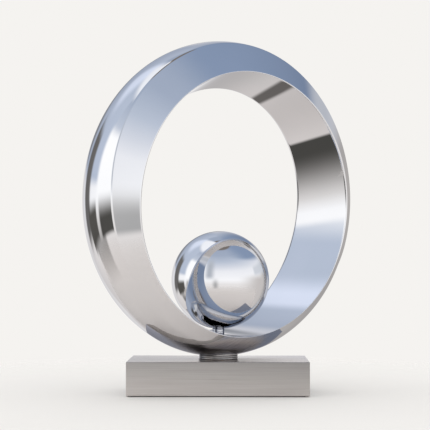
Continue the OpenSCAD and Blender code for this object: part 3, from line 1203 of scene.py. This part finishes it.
# What stands in it, the later in front of the earlier
PANES = (
    Pane("slate blue wall", "#8494ae", 6, 122, 29, 130, left_soft=24, right_soft=70, low_soft=10, rise=0.28),
    Pane("warm wall", "#bab6b2", 6, 64, -62, 12, left_soft=20, right_soft=20, low_soft=20),
    Pane("sideboard", "#c6c1be", 58, 108, -55, 6, left_soft=20, right_soft=70, low_soft=40, high_soft=14),
    Pane("dark middle of the ceiling", "#756e69", -400, 400, 74, 120, low_soft=4),
    Pane("far window", "#cfd3d9", 22, 90, 8, 22),
    Pane("pale blue wall", "#b6c0d1", -92, -6, 8, 56, left_soft=6, right_soft=6, low_soft=6),
    Pane("glow on the wall", "#dce4f5", -58, -31, 36, 60, left_soft=24, right_soft=12, low_soft=12),
    Pane("ceiling light", "#eff1f6", -105, -35, 57, 100, left_soft=16, right_soft=16),
    Pane("screen of light", "#ffffff", -142, -90, 1, 36, left_soft=12, right_soft=12),
    Pane("curtain", "#6b6967", -66, -44, -12, 26),
    Pane("lintel", "#93969a", -34, 0, 9, 19, left_soft=6, right_soft=6, low_soft=4),
    Pane("doorway", "#f5f3f1", -34, 2, -30, 8, left_soft=6, right_soft=6, high_soft=4),
    Pane("frame of the screen", "#b2b7bf", -164, -147, 4, 44, left_soft=16, right_soft=14, low_soft=14,
         high_soft=24),
    Pane("foot of the frame", "#9c9c9c", -174, -165, -20, -2, left_soft=14, right_soft=14, low_soft=5,
         high_soft=20),
    Pane("gap under the screen", "#4b4a47", -139, -95, -21, -4, left_soft=5, right_soft=5, low_soft=4,
         high_soft=16),
    Pane("gap under the wall", "#55534f", -87, -60, -19, -2, left_soft=4, right_soft=4, low_soft=6),
    Pane("shade beside the screen", "#454441", -104, -66, -47, -20, left_soft=6, right_soft=6, low_soft=2,
         high_soft=40),
    Pane("table's far edge", "#66625f", -15, 0, -54, -47, left_soft=5, right_soft=5, low_soft=3, high_soft=3),
)


@dataclass
class Studio:
    """The pale floor, the light of the room and the camera.

    Attributes:
        focal_px: The camera's focal length in pixels of the photograph.
        image_px: The photograph's width in pixels.
        sensor_mm: The width of the camera's sensor.
        camera_mm: Where the camera stands.
        yaw: How far it looks to the left, in degrees.
        pitch: How far it looks up, in degrees.
        view_m: How far it sees.
        backdrop: The colour behind everything.
        paper: The floor's colour, from its darker to its paler fibres.
        paper_mm: How coarse the fibres are, drawn large enough to show.
        table: The floor's colour in polished surfaces, which show a table there.
        floor_m: The floor's radius.
        floor_points: How many points it has round its rim.
        rim_m: Between which distances from the middle it melts into the backdrop.
        behind_m: How far behind the middle that table ends.
        beyond_m: Between which distances from the middle it ends on all sides.
        room_strength: How strong the light of the room is in polished surfaces.
    """

    focal_px: float = 1274.936
    image_px: float = 430.0
    sensor_mm: float = 36.0
    camera_mm: Tuple[float, float, float] = (18.269, -1440.122, 145.693)
    yaw: float = 0.879
    pitch: float = 2.153
    view_m: float = 50.0
    backdrop: str = "#f5f3f0"
    paper: Tuple[str, str] = ("#f4f2ef", "#f6f4f1")
    paper_mm: float = 2.0
    table: str = "#f3ece7"
    floor_m: float = 0.6
    floor_points: int = 96
    rim_m: Tuple[float, float] = (0.3, 0.57)
    behind_m: Tuple[float, float] = (0.012, 0.022)
    beyond_m: Tuple[float, float] = (0.25, 0.55)
    room_strength: float = 1.36

    def build_camera(self) -> None:
        """Builds the camera at the photograph's viewing point."""
        data = bpy.data.cameras.new("camera")
        data.sensor_width = self.sensor_mm
        data.lens = self.focal_px / self.image_px * self.sensor_mm
        data.clip_end = self.view_m
        camera = put_in_scene("camera", data)
        camera.location = Vector(self.camera_mm) * MM
        camera.rotation_euler = (math.radians(90 + self.pitch), 0.0, math.radians(self.yaw))
        bpy.context.scene.camera = camera

    def paper_material(self) -> bpy.types.Material:
        """Makes the floor's matt paper, which polished surfaces mirror as a table that ends.

        Returns:
            The material.
        """
        material = bpy.data.materials.new("matt_studio_paper")
        material.use_nodes = True
        tree = material.node_tree
        shader = tree.nodes["Principled BSDF"]
        place = add(tree, "ShaderNodeTexCoord").outputs["Object"]
        away = add(tree, "ShaderNodeVectorMath", {"operation": "LENGTH"}, {0: place}).outputs["Value"]
        fibres = add(tree, "ShaderNodeTexNoise", {"Scale": 1000 / self.paper_mm, "Detail": 2.0},
                     {"Vector": place})
        colour = add(tree, "ShaderNodeValToRGB", {"stops": [(0.3, self.paper[0]), (0.7, self.paper[1])]},
                     {0: fibres.outputs["Fac"]})
        glossy = add(tree, "ShaderNodeLightPath").outputs["Is Glossy Ray"]
        toned = add(tree, "ShaderNodeMix", {"data_type": "RGBA", 7: linear(self.table)},
                    {0: glossy, 6: colour.outputs[0]})
        wire(tree, shader, {"Roughness": 1.0, "Specular IOR Level": 0.0}, {"Base Color": toned.outputs[2]})
        rim = add(tree, "ShaderNodeMapRange", {"interpolation_type": "SMOOTHSTEP", "From Min": self.rim_m[0],
                                               "From Max": self.rim_m[1]}, {"Value": away})
        apart = add(tree, "ShaderNodeSeparateXYZ", None, {0: place})
        behind = add(tree, "ShaderNodeMapRange", {"From Min": self.behind_m[0], "From Max": self.behind_m[1]},
                     {"Value": apart.outputs["Y"]})
        beyond = add(tree, "ShaderNodeMapRange", {"From Min": self.beyond_m[0], "From Max": self.beyond_m[1]},
                     {"Value": away})
        table_end = add(tree, "ShaderNodeMath", {"operation": "MAXIMUM"},
                        {0: behind.outputs[0], 1: beyond.outputs[0]})
        gone = add(tree, "ShaderNodeMix", None, {0: glossy, 2: rim.outputs[0], 3: table_end.outputs[0]})
        clear = add(tree, "ShaderNodeBsdfTransparent")
        mixed = add(tree, "ShaderNodeMixShader", None,
                    {0: gone.outputs[0], 1: shader.outputs[0], 2: clear.outputs[0]})
        wire(tree, tree.nodes["Material Output"], {}, {"Surface": mixed.outputs[0]})
        return material

    def build_floor(self) -> None:
        """Builds the round floor, which melts into the backdrop of the same colour at its rim."""
        mesh = bpy.data.meshes.new("floor")
        turn = [2 * math.pi * i / self.floor_points for i in range(self.floor_points)]
        rim = [(self.floor_m * math.cos(a), self.floor_m * math.sin(a), 0.0) for a in turn]
        mesh.from_pydata(rim, [], [tuple(range(self.floor_points))])
        mesh.materials.append(self.paper_material())
        floor = put_in_scene("floor", mesh)

    def room(self, tree: bpy.types.NodeTree) -> bpy.types.NodeSocket:
        """Builds the room that the metal shows: its walls, then each pane in front of them.

        Args:
            tree: The world's node tree.

        Returns:
            The room's colour in each direction.
        """
        toward = add(tree, "ShaderNodeTexCoord").outputs["Generated"]
        apart = add(tree, "ShaderNodeSeparateXYZ", None, {0: toward})
        rise = add(tree, "ShaderNodeMath", {"operation": "ARCSINE"}, {0: apart.outputs["Z"]}).outputs[0]
        height = add(tree, "ShaderNodeMapRange", {"From Min": -math.pi / 2, "From Max": math.pi / 2},
                     {"Value": rise})
        compass = add(tree, "ShaderNodeMath", {"operation": "ARCTAN2"},
                      {0: apart.outputs["X"], 1: apart.outputs["Y"]}).outputs[0]
        stops = [((degrees + 90) / 180, code) for degrees, code in WALLS]
        colour = add(tree, "ShaderNodeValToRGB", {"stops": stops}, {0: height.outputs[0]}).outputs[0]
        for pane in PANES:
            middle = math.radians((pane.left + pane.right) / 2)
            aside = add(tree, "ShaderNodeMath", {"operation": "SUBTRACT", 1: middle}, {0: compass})
            lift = add(tree, "ShaderNodeMath", {"operation": "MULTIPLY", 1: -pane.rise},
                       {0: aside.outputs[0]}).outputs[0]
            level = add(tree, "ShaderNodeMath", {"operation": "ADD"}, {0: rise, 1: lift}).outputs[0]
            edges = [
                (compass, pane.left, pane.left_soft, 0.0),
                (compass, pane.right, pane.right_soft, 1.0),
                (level, pane.low, pane.low_soft, 0.0),
                (level, pane.high, pane.high_soft, 1.0),
            ]
            steps = [
                add(tree, "ShaderNodeMapRange", {
                    "interpolation_type": "SMOOTHSTEP",
                    "From Min": math.radians(at - soft / 2),
                    "From Max": math.radians(at + soft / 2),
                    "To Min": start,
                    "To Max": 1.0 - start,
                }, {"Value": value}).outputs[0]
                for value, at, soft, start in edges
            ]
            share = steps[0]
            for step in steps[1:]:
                share = add(tree, "ShaderNodeMath", {"operation": "MULTIPLY"}, {0: share, 1: step}).outputs[0]
            colour = add(tree, "ShaderNodeMix",
                         {"label": pane.title, "data_type": "RGBA", 7: linear(pane.colour)},
                         {0: share, 6: colour}).outputs[2]
        return colour

    def build_world(self) -> None:
        """Builds the light: even on matt surfaces, the backdrop for the camera, the room in polished ones."""
        world = bpy.data.worlds.new("studio")
        bpy.context.scene.world = world
        world.use_nodes = True
        tree = world.node_tree
        tree.nodes.clear()
        path = add(tree, "ShaderNodeLightPath")
        shown = add(tree, "ShaderNodeMath", {"operation": "MAXIMUM"},
                    {0: path.outputs["Is Glossy Ray"], 1: path.outputs["Is Transmission Ray"]})
        even = add(tree, "ShaderNodeBackground", {"Color": linear("#ffffff"), "Strength": 1.0})
        plain = add(tree, "ShaderNodeBackground", {"Color": linear(self.backdrop), "Strength": 1.0})
        room = add(tree, "ShaderNodeBackground", {"Strength": self.room_strength}, {"Color": self.room(tree)})
        lit = add(tree, "ShaderNodeMixShader", None,
                  {0: shown.outputs[0], 1: even.outputs[0], 2: room.outputs[0]})
        mixed = add(tree, "ShaderNodeMixShader", None,
                    {0: path.outputs["Is Camera Ray"], 1: lit.outputs[0], 2: plain.outputs[0]})
        add(tree, "ShaderNodeOutputWorld", None, {"Surface": mixed.outputs[0]})

    def build(self) -> None:
        """Builds the camera, floor and world, and keeps the plain view settings."""
        self.build_camera()
        self.build_floor()
        self.build_world()
        bpy.context.scene.view_settings.view_transform = "Standard"


def main() -> None:
    """Builds the studio and every piece."""
    logging.basicConfig(level=logging.INFO, format="%(message)s")
    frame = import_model()
    Studio().build()
    standing = RingFrame()
    Ring(standing).build()
    Ball(standing).build()
    block = Block()
    block.build_shell()
    block.build_collar(standing)
    PlainParts(frame["nodes"]).dress()


if __name__ == "__main__":
    main()
